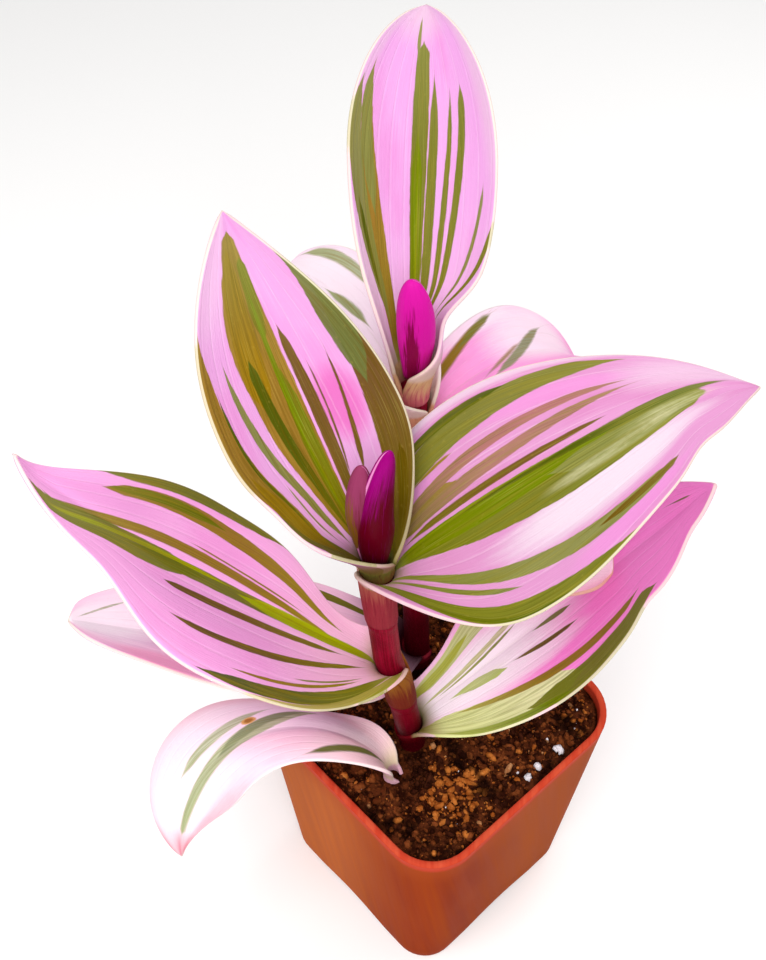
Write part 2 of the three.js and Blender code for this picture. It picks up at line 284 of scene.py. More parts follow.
# %% [markdown]
# ## Leaves
# A leaf starts as a sheath, a tube that wraps the stem. The tube opens into a blade, which is
# narrow at the stem, widest near its middle and pointed at the tip. A flat grid of quads is
# bent into that shape: one direction of the grid runs from the sheath to the tip and the other
# from margin to margin. Because the veins of such a leaf run from end to end, the same two
# directions later place the stripes.
#
# Heading and rise aim the blade. By its tip it has turned by swing and bent by droop, late
# where turn and when are above 1. Base, widest and tip give its outline, cup and fold its
# section, roll and twist its tilt. Open says how soon it leaves the stem, whose middle is at
# radius. Hug widens the left and the right half at the foot, side makes one half the wider,
# and curl lifts the tip. A trim is a waist in a margin: which one, where, how long, how deep.

# %% The form of each leaf
LEAF_DEFAULTS = dict(swing=0, turn=1, droop=0, when=1.2, base=0.4, tip=1, roll=0, twist=0,
                     fold=0, open=0.05, side=0, curl=0, radius=BLADE_START, hug=(0, 0),
                     trim=())
LEAVES = {
    "leaf_top": dict(
        stem=BACK_STEM, z=128.5, heading=89, swing=-3, rise=44, droop=-20, length=61, width=29,
        widest=0.5, base=0.45, tip=0.78, roll=16, twist=-19, cup=45, fold=9, open=0.08,
        sheath=6, hug=(0.6, 5.5), trim=((-1, 0.1, 0.07, 4.2),)),
    "leaf_upper_left": dict(
        stem=FRONT_STEM, z=115.5, heading=136, swing=-26, rise=43, droop=4, length=57,
        width=33, widest=0.37, base=0.46, roll=-2, twist=-2, cup=37, fold=8, sheath=3.2,
        hug=(3, 0.5), radius=3.05, trim=((1, 0.22, 0.1, 1.8),)),
    "leaf_upper_right": dict(
        stem=FRONT_STEM, z=111.5, heading=17, swing=-10, rise=40, droop=-41, when=2.1,
        length=65, width=40, widest=0.33, base=0.42, tip=1.1, roll=12, twist=-3, cup=12,
        side=-0.14, sheath=12, hug=(0, 2.6), radius=3.05, trim=((-1, 0.82, 0.05, 1.3),)),
    "leaf_middle_left": dict(
        stem=FRONT_STEM, z=85, heading=183, swing=-11, rise=43, length=75, width=37,
        widest=0.48, base=0.36, tip=1.4, roll=4, twist=4, cup=6, fold=3, open=0.03, side=0.16,
        curl=40, sheath=11, hug=(1.6, 0), radius=3.0,
        trim=((1, 0.74, 0.09, 3.4), (-1, 0.13, 0.12, 5.0))),
    "leaf_low_right": dict(
        stem=FRONT_STEM, z=64.5, heading=22, swing=-14, rise=38, droop=16, when=1, length=72,
        width=35, widest=0.51, base=0.3, tip=0.93, roll=-5, twist=-7, cup=6, fold=3, open=0.03,
        side=-0.08, sheath=4, radius=3.1,
        trim=((-1, 0.74, 0.04, 1.4), (-1, 0.9, 0.035, 1.6), (1, 0.12, 0.1, 2.4))),
    "leaf_low_left": dict(
        stem=BACK_STEM, z=60.5, heading=200, swing=-10, rise=25, droop=4, length=69, width=35,
        widest=0.38, base=0.3, tip=0.48, roll=3, twist=18, cup=3, fold=8, open=0.03, side=0.08,
        sheath=2.5),
    "leaf_ground": dict(
        stem=GROUND_FOOT, z=57.5, heading=164, swing=98, turn=1.5, rise=85, droop=-170,
        when=0.68, length=64, width=26, widest=0.55, base=0.22, tip=1.3, roll=56, twist=-78,
        cup=-42, fold=4, open=0.06, radius=1.6, side=-0.3, sheath=8),
    "leaf_back_left": dict(
        stem=BACK_STEM, z=120.8, heading=122, swing=4, rise=33, droop=-65, when=0.95, length=41,
        width=20, widest=0.38, base=0.8, tip=0.4, twist=-10, cup=26, fold=9, open=0.06,
        side=0.1, sheath=6, hug=(4, 0)),
    "leaf_back_right": dict(
        stem=BACK_STEM, z=114, heading=42, swing=7, rise=20, droop=-80, when=0.85, length=55,
        width=20, widest=0.5, base=0.42, roll=9, twist=-2, cup=30, fold=10, open=0.06,
        sheath=11),
    "leaf_small_right": dict(
        stem=BACK_STEM, z=83.5, heading=-25, rise=37, droop=-24, length=38.5, width=20,
        widest=0.45, tip=0.4, roll=4, cup=16, fold=4, sheath=9),
}
for name, spec in LEAVES.items():
    LEAVES[name] = SimpleNamespace(**{**LEAF_DEFAULTS, **spec})
print("leaves:", len(LEAVES))


# %% Bending a grid into a leaf
MOUTH = 3.5
GROOVE, GROOVE_WIDTH = 0.3, 1.1
WAVE, WAVES = 0.25, 2.3
START_CLIMB = 82
CURL_FROM = 0.88
SLIDE_REACH, HUG_REACH, ROLL_REACH, SIDE_REACH, FOLD_REACH = 0.06, 0.07, 0.1, 0.12, 0.15
WELD, FINE_WELD = 0.00002, 0.00001


def fade(s, reach):
    """1 at the blade's start, and less the further s is past reach."""
    return exp(-s / reach)


def half_width(s, leaf):
    """Share of the full half width at s along the blade."""
    if s < leaf.widest:
        k = 1 - s / leaf.widest
        return leaf.base + (1 - leaf.base) * (1 - k ** 2.2)
    k = (s - leaf.widest) / (1 - leaf.widest)
    return clip(1 - k * k) ** leaf.tip


def blade_frame(s, leaf):
    """Directions out along the blade, to its left and up from its face, at s."""
    heading = radians(leaf.heading + leaf.swing * s ** leaf.turn)
    climb = leaf.rise + leaf.droop * s ** leaf.when
    climb += (START_CLIMB - leaf.rise) * fade(s, leaf.open)
    climb += leaf.curl * clip((s - CURL_FROM) / (1 - CURL_FROM)) ** 1.5
    climb = radians(climb)
    out = level(heading) * cos(climb) + Vector((0, 0, sin(climb)))
    left = Vector((-sin(heading), cos(heading), 0))
    up = out.cross(left)
    roll = radians(leaf.roll * (1 - fade(s, ROLL_REACH)) + leaf.twist * s)
    return out, left * cos(roll) + up * sin(roll), up * cos(roll) - left * sin(roll)


def midrib(leaf, steps=320):
    """Points of the midrib at even steps, worked out by walking along the blade."""
    ahead = level(radians(leaf.heading))
    points = [along(leaf.stem, leaf.z) + ahead * leaf.radius]
    for i in range(steps):
        out = blade_frame((i + 0.5) / steps, leaf)[0]
        points.append(points[-1] + out * (leaf.length / steps))
    return points


def blade_point(leaf, rib, s, t):
    """A point of the blade at s from stem to tip and t from right margin to left margin."""
    out, left, up = blade_frame(s, leaf)
    k = s * (len(rib) - 1)
    i = min(int(k), len(rib) - 2)
    middle = rib[i].lerp(rib[i + 1], k - i)
    slide = max(0.0, BLADE_START - leaf.radius) * (1 - fade(s, SLIDE_REACH)) \
        * (leaf.radius > SHEATH_FOOT)
    middle = middle + level(radians(leaf.heading)) * slide
    w = leaf.width / 2 * half_width(s, leaf)
    cup = radians(leaf.cup)
    sign = (t > 0) - (t < 0)
    hug = leaf.hug[0 if t > 0 else 1] * fade(s, HUG_REACH) * abs(sign)
    bend = cup + ((w + hug) / leaf.radius - cup) * fade(s, leaf.open)
    bend = bend if abs(bend) > 0.001 else 0.001
    fold = radians(leaf.fold) * (1 - fade(s, FOLD_REACH))
    wide = w * (1 + leaf.side * sign * (1 - fade(s, SIDE_REACH))) + hug
    for at_side, at_s, reach, depth in leaf.trim:
        if at_side == sign:
            wide -= depth * exp(-((s - at_s) / reach) ** 2) * ease(s, 0.0, 0.06)
    across = sin(bend * t) / bend * wide
    lift = (1 - cos(bend * t)) / bend * wide
    lift += WAVE * t * t * sin(tau * (WAVES * s + 0.3 * sign)) * ease(s, 0.05, 0.25)
    lift -= GROOVE * exp(-(t * w / GROOVE_WIDTH) ** 2) * ease(s, 0.03, 0.2) * ease(s, 1.0, 0.8)
    side = across * cos(fold) - lift * sin(fold) * sign
    rise = lift * cos(fold) + abs(across) * sin(fold)
    return middle + left * side + up * rise, wide


def sheath_point(leaf, below, t):
    """A point of the tube round the stem, some millimetres below the blade."""
    w = leaf.width / 2 * leaf.base
    left, right = [(w + hug) / leaf.radius for hug in leaf.hug]
    closing = ease(below, 0, min(MOUTH, leaf.sheath))
    slit = tau - left - right
    bend = (left if t > 0 else right) + slit / 2 * closing
    angle = bend * t
    foot = min(SHEATH_FOOT, leaf.radius)
    reach = leaf.radius + (foot - leaf.radius) * ease(below, -1.5, leaf.sheath) ** 0.7 \
        * ease(below, 0, 1.5)
    point = along(leaf.stem, leaf.z - below)
    point += level(radians(leaf.heading) + angle) * reach
    climb = cos(radians(START_CLIMB)) * (1 - closing)
    point.z += leaf.radius * (1 - cos(angle)) * climb
    return point, leaf.radius * bend


def bend_leaf(leaf, rows=72, columns=30, sheath_share=0.14):
    """The whole leaf as a sheet, with its two maps: leaf is (s, t), size is in centimetres."""
    rib = midrib(leaf)
    bm = bmesh.new()
    bmesh.ops.create_grid(bm, x_segments=rows, y_segments=columns, size=1)
    found = {}
    for vert in bm.verts:
        k = (vert.co.x + 1) / 2
        t = vert.co.y
        if k < sheath_share:
            below = leaf.sheath * (1 - k / sheath_share)
            point, wide = sheath_point(leaf, below, t)
            s = -below / leaf.length
        else:
            k = (k - sheath_share) / (1 - sheath_share)
            s = 0.6 * k + 0.4 * k * k
            point, wide = blade_point(leaf, rib, s, t)
        found[vert] = (s, t, wide)
        vert.co = place(*point)
    leaf_map = bm.loops.layers.uv.new("leaf")
    size_map = bm.loops.layers.uv.new("size")
    for face in bm.faces:
        for loop in face.loops:
            s, t, wide = found[loop.vert]
            loop[leaf_map].uv = (s, t)
            loop[size_map].uv = (wide / 10, wide * t / 10)
    bmesh.ops.remove_doubles(bm, verts=bm.verts, dist=WELD)
    return bm


# %% [markdown]
# ## The finish of a leaf
# The blade is pink, and nearly white in places. Green stripes run along its veins. Each stripe
# is written as a line: where it starts and ends along the blade, where its middle lies between
# the margins at its start, halfway and at its end, half its width at the same three places, and
# its colour. Widths are shares of the half blade, so a stripe narrows with the leaf. A noise
# that is drawn out along the blade frays the edges and the ends, as real variegation does.

# %% Colours of the plant
PINK = (212, 150, 202)
DEEP_PINK = (214, 132, 194)
DULL_PINK = (206, 150, 186)
PALE = (252, 236, 244)
OLIVE = (104, 108, 6)
SAGE = (122, 124, 62)
BRONZE = (142, 108, 10)
BROWN = (98, 70, 0)
PINE = (70, 80, 4)
LIME = (102, 118, 0)
YELLOW_GREEN = (156, 160, 0)
PALE_GREEN = (206, 212, 156)
CREAM = (236, 224, 196)
UNDER_PINK = (206, 120, 190)
UNDER_GREEN = (126, 66, 108)
UNDER_EDGE = (226, 160, 196)
TIP_GREEN = (146, 150, 86)
STRAW = (182, 176, 84)
SHADE_GREEN = (70, 74, 0)
SAND = (196, 172, 76)
# Cream of the painted highlights, a painted sheen on the stripes.
SHEEN_CREAM = (212, 206, 166)
SCAR_RIM, SCAR = (222, 170, 96), (170, 112, 52)
VEINS = 11
TAPER = 24


def curve(k, values):
    """A curve through three values at k = 0, 0.5 and 1."""
    start, middle, end = values
    bend = 2 * (start + end - 2 * middle)
    return k * (k * bend + (end - start - bend)) + start


def oval(s, v, at_s, at_v, reach_s, reach_v):
    """1 on the edge of an oval patch of the leaf, and less inside it."""
    return ((s - at_s) / reach_s) ** 2 + ((v - at_v) / reach_v) ** 2


def stripe_field(s, v, wide, fray, line):
    """How far inside a stripe a point lies, in centimetres; below 0 is outside."""
    start, end, taper = line[0] / 100, line[1] / 100, (line[5:] or (TAPER,))[0] / 100
    places, halves = ([n / 100 for n in three] for three in line[2:4])
    reach = end - start
    k = (s - start) / reach
    ends = s.step(start - 0.02, start + 0.12) * s.step(end + 0.01, end - taper * reach)
    body = ends * (curve(k, halves) * wide + 0.02) - 0.02
    frayed = (fray - 0.5) * min(0.075, 0.035 + max(halves) / 4)
    return body - abs(v - curve(k, places)) * wide + frayed


def leaf_finish(name, leaf, look, stripes, under=False):
    """The striped skin of one leaf, from its list of stripes and its pale places."""
    finish = Finish(name, Specular_IOR_Level=0.03)
    s, t = finish.uv("leaf")
    wide, across = finish.uv("size")
    v, seed = t, look.seed
    blade_s = s.math("MAXIMUM", 0.0)
    if look.lean:
        lean, power = look.lean
        shift = (blade_s ** power * lean).math("MINIMUM", 0.85)
        v = (t - shift) / (1 - shift * (t - shift).math("SIGN"))
    left, right = look.gather
    gather = v.math("SIGN") * ((left - right) / 2) + (left + right) / 2
    v = v / (1.01 - (blade_s * -16).math("EXPONENT") * gather)
    streaks = finish.noise((s * 5, v * 16 + seed), 2.2, 3.0, 0.6)
    threads = finish.noise((s * 2.2, v * 46 + seed, 5.0), 2.0, 2.0)
    fine = finish.noise((s * 16, v * 80 + seed), 2.0, 2.0)
    clouds = finish.noise((s * 2.6, v * 1.6 + seed, 3.0), 1.6, 2.0)
    mottle = finish.noise((s * leaf.length * 0.9, across * 16 + seed, 9.0), 1.0, 3.0)

    pink, deep_pink = (UNDER_PINK, DEEP_PINK) if under else (look.pink, look.deep_pink)
    colour = finish.paint(pink, (deep_pink, clouds.step(0.45, 0.72) * 0.6),
                          (PALE, threads.step(0.52, 0.8) * 0.16),
                          (look.near, s.step(0.4, 0.05) * 0.6))
    for patches, shade in (look.deep, look.deep_colour), (look.pale, look.pale_colour):
        for *patch, strength in patches:
            share = (oval(s, v, *patch) + (streaks - 0.5) * 0.5).step(1.25, 0.1) * strength
            colour = finish.paint(colour, (shade, share))
    veins = (v * VEINS + fine * 0.3).math("PINGPONG", 1.0)
    colour = finish.paint(colour, (PALE, veins.step(0.16, 0.0) * 0.1))

    green = None
    for line in stripes:
        field = stripe_field(s, v, wide, streaks * 0.65 + fine * 0.35, line)
        mask = field.step(-look.soft, look.soft)
        colour = finish.paint(colour, (UNDER_GREEN if under else line[4], mask * 0.97))
        green = mask if green is None else green.math("MAXIMUM", mask)
    if not under:
        drift = finish.noise((s * 2.4, v * 13 + seed, 7.0), 2.0, 3.0).step(0.42, 0.66)
        colour = finish.paint(
            colour, (look.drift, green * drift * 0.42),
            (look.foot_green, green * s.step(0.42, 0.06) * 0.45),
            (TIP_GREEN, green * s.step(0.5, 0.95) * 0.35),
            (STRAW, green * threads.step(0.56, 0.72) * 0.2),
            (SHADE_GREEN, green * threads.step(0.46, 0.34) * 0.32),
            (SAND, green * mottle.step(0.6, 0.75) * 0.1))
    # Painted highlight: cream patches of sheen on the stripes, broken up by noise.
    sheen_breakup = (streaks * 0.5 + clouds * 0.5 + mottle * 0.15).step(0.32, 0.9)
    for *patch, strength in look.worn:
        share = oval(s, v, *patch).step(1.3, 0.0) * sheen_breakup * strength
        colour = finish.paint(colour, (SHEEN_CREAM, share))
    rib_line = (abs(v) * wide).step(0.026, 0.008) * s.step(0.75, 0.1)
    colour = finish.paint(colour, (PALE if under else YELLOW_GREEN, rib_line * look.rib),
                          (look.foot, s.step(look.foot_reach, 0.0) * look.foot_share))

    below = s * (-leaf.length / leaf.sheath)
    top, bottom, dark = look.sheath
    grain = finish.noise((t * 13 + seed, below * 0.7), 1.6, 3.0, 0.6)
    turn = (below + (grain - 0.5) * 0.9).step(*look.sheath_turn)
    tube = finish.paint(top, (bottom, turn), (dark, grain.step(0.5, 0.72) * 0.55),
                        (top, grain.step(0.42, 0.3) * 0.4), (dark, below.step(0.95, 1.0) * 0.6))
    colour = finish.paint(colour, (tube, s.step(0.004, -0.012)))
    for patch in look.scars:
        away = oval(s, v, *patch) + (fine - 0.5)
        colour = finish.paint(colour, (SCAR_RIM, away.step(1.2, 0.7)),
                              (SCAR, away.step(0.5, 0.2)))
    hem = (wide - abs(across)).step(look.margin, 0.008) \
        * s.step(look.edge_from - 0.02, look.edge_from + 0.02)
    edge = UNDER_EDGE if under else look.edge
    colour = finish.paint(colour, (edge, hem * (s.step(0.0, 0.22) * 0.34 + 0.3)))

    cross_veins = (s * (leaf.length * 1.6) + fine * 1.6).math("PINGPONG", 1.0)
    relief = veins.step(0.25, 0.0) * -0.4 + threads * 0.5 + fine * 0.25 + mottle * 0.3
    gloss = 0.5 if under else 0.34
    return finish.show(colour, streaks * 0.14 + gloss, relief + cross_veins * 0.05, 0.0002)


# %% [markdown]
# ### The stripes of each leaf
# One line for each stripe, as above, in hundredths. A last number says how long its end
# tapers, so a small one makes it blunt.

# %% Stripes, leaf by leaf
STRIPES = {}
STRIPES["leaf_top"] = [
    (-6, 84, (40, 60, 86), (10, 12.5, 3.5), BRONZE),
    (6, 78, (46, 82, 93), (4, 12.5, 3), SAGE),
    (34, 80, (55, 70, 84), (5, 9, 3), SAGE),
    (12, 42, (58, 72, 86), (2, 4, 2), PINE),
    (-6, 88.5, (0, 0, -2), (7, 9.2, 13), OLIVE, 5),
    (-6, 66, (2, 1, 2), (5, 7, 5), LIME),
    (78, 97, (6, 10, 12), (5, 4.5, 3), SAGE),
    (-4, 84, (-14, -15.5, -22), (5.5, 5.5, 4.5), OLIVE),
    (2, 80, (-27, -32, -45), (3, 3.4, 1.2), OLIVE),
    (2, 75, (-33, -45, -58.5), (2.5, 4.5, 4), OLIVE, 10),
    (7, 49, (-48, -72, -81), (1.8, 2.6, 1.2), SAGE),
    (5, 37, (-48, -86, -100), (3, 4.2, 3), OLIVE),
]
STRIPES["leaf_upper_left"] = [
    (-10, 36, (85, 84, 86), (40, 20, 5), (88, 96, 26)),
    (-12, 12, (160, 125, 95), (75, 42, 6), (104, 110, 46)),
    (4, 75, (72, 87, 99), (16, 15, 6), BRONZE),
    (10, 60, (62, 73, 80), (2, 2.2, 1), PINE),
    (2, 30, (40, 50, 51), (1.6, 1.4, 0.8), SAGE),
    (2, 67, (26, 46, 64), (4, 5, 1.2), SAGE),
    (-6, 94.5, (2, 11, 13), (7, 24.5, 27), BRONZE, 3),
    (42, 93, (22, 27, 24), (6, 19, 12), BRONZE),
    (60, 87, (-2, -4, -8), (8, 9, 11), OLIVE, 10),
    (4, 62, (9, 18, 27), (3, 5.5, 5), PINE, 12),
    (-2, 60, (0, -2, -6), (5, 8, 3), OLIVE),
    (8, 86, (2, -1, -3), (2, 3, 2), LIME),
    (6, 69, (-14, -21.5, -21), (4, 5.8, 3.5), BROWN, 14),
    (16, 60, (-22, -31, -33), (1, 1, 0.6), BROWN),
    (16, 62, (-38, -49, -58.5), (4, 1.8, 0.6), BROWN),
    (-12, 84, (-86, -88, -104), (24, 21.5, 11), BROWN),
    (40, 95, (-76, -88, -104), (3, 17, 9), (98, 104, 52), 60),
    (-4, 24, (-86, -84, -84), (7, 8, 3), (74, 48, 0)),
]
STRIPES["leaf_upper_right"] = [
    (2, 78, (60, 73.5, 92), (12, 10.5, 5), (112, 112, 38)),
    (8, 50, (80, 83, 86.5), (3, 4, 2), PINE),
    (12, 30, (51, 53, 53.5), (1.8, 1.6, 0.8), BRONZE),
    (1, 28, (22, 26, 28), (11, 11, 3), (150, 112, 62)),
    (3, 78, (31, 44, 54), (5, 5, 2), (158, 100, 96)),
    (3, 85, (22, 27, 56), (6, 5.6, 1.5), (154, 106, 92), 36),
    (4, 68, (10, 8.5, 12), (2.8, 3.2, 1.8), BROWN, 16),
    (-5, 88.5, (-3, -16.5, -15.5), (7, 16.8, 16), OLIVE, 6),
    (-5, 70, (-3, -8, -5), (7, 9, 4), LIME),
    (45, 90, (-12, -20, -20), (4, 11, 10), SAGE),
    (20, 100, (-1, -2.5, 2), (1.4, 3.6, 13), PINE),
    (-10, 76.5, (-30, -64, -76), (3, 5.8, 4.5), SAGE, 8),
    (50, 76.5, (-71, -74, -76.5), (2, 3, 3.5), BROWN, 10),
    (-10, 34, (-50, -64.5, -77), (2.5, 3, 1), SAGE),
    (-12, 68, (-90, -92.5, -100), (10, 7.8, 2.5), OLIVE),
    (4, 45, (-95, -96.5, -97.5), (2, 2, 1), PINE),
]
STRIPES["leaf_middle_left"] = [
    (26, 84, (-100, -95, -98), (6, 11, 8), OLIVE),
    (8, 80, (-42, -64, -70), (6, 9.8, 7), BRONZE, 10),
    (44, 80, (-66, -70, -72), (3, 6, 4), OLIVE),
    (10, 99, (-8, -20, -21), (3, 6, 5), BRONZE),
    (18, 60, (-21, -26, -32), (1.2, 1.2, 0.8), BRONZE),
    (-5, 74, (-2, 2, 3), (13, 7.5, 11), OLIVE),
    (48, 98, (3, 4, 0), (5, 19, 34), OLIVE),
    (-5, 44, (-4, 0, 2), (15, 10, 5), (162, 174, 0)),
    (40, 95, (-2, -4, -10), (1.2, 3, 4), YELLOW_GREEN),
    (8, 61.5, (18, 22.5, 27), (2, 3.4, 2.8), BROWN, 8),
    (2, 61, (30, 50, 57.5), (3, 3.4, 2.2), BROWN, 14),
    (4, 48, (62, 74, 81), (2, 1.8, 0.8), BRONZE),
    (2, 30, (56, 64, 68), (1.6, 1.2, 0.6), SAGE),
    (-10, 14, (116, 106, 95), (26, 15, 4), (126, 132, 34)),
    (-4, 56, (80, 87.5, 96), (12, 7.2, 4), PINE),
    (-4, 46, (97, 98.5, 100), (10, 5, 2), (176, 158, 90)),
]
STRIPES["leaf_low_right"] = [
    (-4, 44, (64, 66, 66), (18, 19, 14), PALE_GREEN),
    (-4, 24, (62, 62, 62), (15, 12, 3), YELLOW_GREEN),
    (-2, 42, (20, 18, 34), (4, 4, 3), (206, 196, 160)),
    (2, 40, (10, 10, 24), (1.4, 2, 1), SAGE),
    (36, 53, (-3, -5, -7), (3, 3.5, 2), SAGE),
    (28, 55, (-19, -26, -28), (2, 2.6, 1.5), BROWN),
    (8, 30, (-15, -18, -25), (5, 7, 4), (170, 188, 100)),
    (-4, 54, (-74, -76, -84), (34, 24, 12), (226, 230, 170)),
    (6, 74, (-44, -62, -64), (2, 4.6, 4), BRONZE, 10),
    (30, 79, (-86, -90, -86), (8, 13, 11), OLIVE, 14),
    (2, 50, (-92, -93, -95), (5, 4.5, 3), LIME),
    (82, 94, (36, 34, 32), (3, 4, 2), BROWN),
]
STRIPES["leaf_low_left"] = [
    (78, 100, (-60, -50, -10), (2, 3, 2), (214, 206, 200)),
    (2, 62, (40, 72, 82), (5, 6, 3), SAGE),
    (2, 50, (-20, -34, -40), (4, 4, 2), SAGE),
    (0, 62, (-60, -84, -90), (6, 7, 3), OLIVE),
]
STRIPES["leaf_ground"] = [
    (26, 89, (-44, 4, 14), (8, 13, 12), (184, 192, 152), 4),
    (28, 62, (-42, -16, 5), (5, 7, 3), (140, 150, 112)),
    (40, 74, (-46, -27, -23), (5, 7, 2), (196, 202, 168)),
    (2, 33, (5, 50, 86), (14, 12, 4), (92, 98, 52)),
]
STRIPES["leaf_back_left"] = [
    (42, 98, (-58, -70, -78), (4, 13, 10), (176, 184, 144)),
    (30, 66, (-6, 0, 10), (3, 10, 3), (152, 164, 112), 40),
    (5, 98, (62, 72, 90), (5, 5, 4), SAGE),
]
STRIPES["leaf_back_right"] = [
    (3, 40, (46, 62, 88), (13, 11, 5), BRONZE),
    (22, 44, (62, 76, 90), (4, 8, 4), SAGE),
    (24, 52, (-24, 2, 24), (3, 4, 1.5), (168, 136, 112)),
    (26, 70, (-34, 6, 64), (5, 10, 5), (142, 144, 112)),
    (10, 86, (-70, -86, -90), (4, 8, 4), PINE),
]
STRIPES["leaf_small_right"] = [
    (2, 60, (30, 50, 60), (6, 7, 3), SAGE),
    (2, 52, (-20, -36, -40), (6, 7, 3), OLIVE),
]
print("stripes:", sum(len(lines) for lines in STRIPES.values()))

# %% [markdown]
# ### The rest of each leaf's look
# The colours of the blade, of its foot and of its sheath, from the blade's end of the sheath
# down. Pale, deep and painted-sheen patches are ovals: the middle, the reach both ways and the
# strength; the painted sheen is a painted highlight in cream.
# Gather pulls the stripes together near the stem, and lean brings them to one margin near the
# tip. Near colours the blade close to the stem, and drift mixes into the stripes. Soft blurs
# their edges, rib is how strong the midrib shows, and margin how wide the pale edge is.

# %% Colours and patches, leaf by leaf
LOOK_DEFAULTS = dict(
    pink=PINK, deep_pink=DEEP_PINK, near=DULL_PINK, pale=(), pale_colour=PALE, deep=(),
    deep_colour=DEEP_PINK, drift=BRONZE, foot_green=(112, 104, 0),
    foot=(188, 190, 96), foot_share=0.5, foot_reach=0.07, gather=(0.5, 0.5), lean=None,
    soft=0.01, rib=0.1, worn=(), scars=(), edge=CREAM, edge_from=0, margin=0.021,
    sheath_turn=(0.1, 0.85))
LOOKS = {}
LOOKS["leaf_top"] = dict(
    seed=1, rib=0.3, gather=(0, 0.3), drift=(128, 116, 40), pink=(214, 152, 206),
    near=(216, 174, 202), pale=[(1.08, 0.2, 0.22, 1.4, 0.7), (0.75, -1, 0.35, 0.25, 0.5),
    (0.85, 0.95, 0.2, 0.2, 0.4), (0.1, 0.9, 0.3, 0.3, 0.6)], pale_colour=(214, 190, 202),
    sheath=((198, 160, 112), (190, 96, 104), (140, 34, 62)))
LOOKS["leaf_upper_left"] = dict(
    seed=2.3, rib=0.2, gather=(0.55, 0), drift=BROWN, foot_green=(116, 100, 0),
    foot=(136, 120, 30), foot_share=0.8, margin=0.02, pale=[(0.95, 0.75, 0.3, 0.5, 0.25)],
    sheath=((128, 124, 56), (130, 96, 50), (96, 30, 30)), deep=[(0.4, -0.45, 0.13, 0.26, 0.75)],
    deep_colour=(206, 88, 166))
LOOKS["leaf_upper_right"] = dict(
    seed=3.7, rib=0.15, gather=(0.3, 0.35), lean=(1, 7), drift=(128, 118, 30),
    foot_green=(110, 114, 0), near=(202, 136, 178), sheath_turn=(-0.1, 0.45),
    pink=(200, 136, 180), deep_pink=(192, 116, 164), pale=[(0.58, -0.46, 0.33, 0.2, 0.9),
    (0.92, 0.55, 0.24, 0.5, 0.45), (0.35, 1, 0.5, 0.1, 0.7)], pale_colour=(216, 200, 210),
    deep=[(0.55, 0.62, 0.2, 0.12, 0.6), (0.62, -0.86, 0.2, 0.1, 0.7),
    (0.15, 0.45, 0.1, 0.06, 0.5)], worn=[(0.66, -0.25, 0.22, 0.06, 0.75),
    (0.78, -0.17, 0.13, 0.1, 0.75)], sheath=((160, 86, 70), (138, 42, 52), (100, 4, 30)))
LOOKS["leaf_middle_left"] = dict(
    seed=4.1, rib=0.15, gather=(0.3, 0.55), lean=(2.3, 8), pink=(242, 168, 222),
    deep_pink=(240, 150, 214), foot_green=(146, 146, 0), drift=(146, 120, 6),
    deep=[(0.5, 0.35, 0.3, 0.2, 0.3), (0.82, -0.5, 0.2, 0.3, 0.3)], near=(244, 196, 204),
    sheath=((142, 86, 30), (108, 38, 24), (80, 8, 10)), sheath_turn=(0.1, 0.7), edge_from=0.05)
LOOKS["leaf_low_right"] = dict(
    seed=5.9, gather=(0, 0), pink=(250, 138, 212), deep_pink=(246, 124, 204), near=PALE,
    foot_green=(196, 204, 110), foot=(126, 110, 20), drift=OLIVE, pale=[(0.16, 0, 0.42, 0.6, 1),
    (0.38, -0.36, 0.2, 0.14, 0.5)], worn=[(0.2, -0.17, 0.1, 0.08, 0.6)],
    sheath=((96, 4, 16), (70, 0, 8), (44, 0, 4)), margin=0.03, edge_from=0.14, foot_share=0.9)
LOOKS["leaf_low_left"] = dict(
    seed=6.2, pink=(255, 204, 230), near=(252, 196, 222), foot=(40, 3, 8), foot_share=1,
    foot_reach=0.2, edge_from=0.2, pale=[(0.98, -0.1, 0.28, 0.8, 1), (0.6, -0.9, 0.35, 0.5, 0.7)],
    deep=[(0.8, 0.85, 0.12, 0.3, 0.8)], deep_colour=(252, 164, 202),
    sheath=((126, 24, 38), (96, 8, 26), (60, 4, 14)))
LOOKS["leaf_ground"] = dict(
    seed=7.4, rib=0, soft=0.03, gather=(0, 0), pink=(255, 220, 230), deep_pink=(246, 200, 216),
    near=(255, 214, 216), foot_green=(130, 136, 40), drift=SAGE,
    pale=[(0.3, -0.2, 0.25, 0.4, 0.7), (0.7, -0.4, 0.34, 0.5, 0.7), (0.72, 0.3, 0.3, 0.4, 0.5)],
    deep=[(1, 0, 0.14, 1.6, 1), (0.42, -1, 0.24, 0.35, 0.35), (0.74, 1, 0.28, 0.4, 0.45)],
    deep_colour=(226, 132, 150), scars=[(0.475, -0.26, 0.022, 0.06)], margin=0.035,
    edge=(250, 236, 230), sheath=((224, 176, 190), (206, 130, 150), (170, 90, 110)))
LOOKS["leaf_back_left"] = dict(
    seed=8.8, soft=0.03, pink=(236, 190, 220), gather=(0.3, 0.3), near=(250, 222, 238),
    pale=[(0.62, 0, 0.7, 1.4, 1)], edge=(236, 236, 214),
    sheath=((206, 150, 110), (206, 110, 140), (134, 110, 40)))
LOOKS["leaf_back_right"] = dict(
    seed=9.5, soft=0.035, gather=(0.4, 0.4), pink=(250, 160, 216), near=(250, 162, 214),
    pale=[(0.62, 0.4, 0.3, 0.9, 0.8), (0.35, 0.9, 0.2, 0.25, 0.8)], edge=(236, 220, 220),
    sheath=((196, 150, 90), (206, 110, 130), (118, 96, 24)))
LOOKS["leaf_small_right"] = dict(
    seed=10.6, pink=(255, 206, 228), pale=[(0.8, 0, 0.25, 0.9, 0.5)],
    deep=[(1, -0.4, 0.2, 0.9, 0.7)], deep_colour=(252, 174, 196), edge=(206, 156, 96),
    margin=0.04, sheath=((160, 40, 76), (130, 20, 50), (90, 6, 30)))


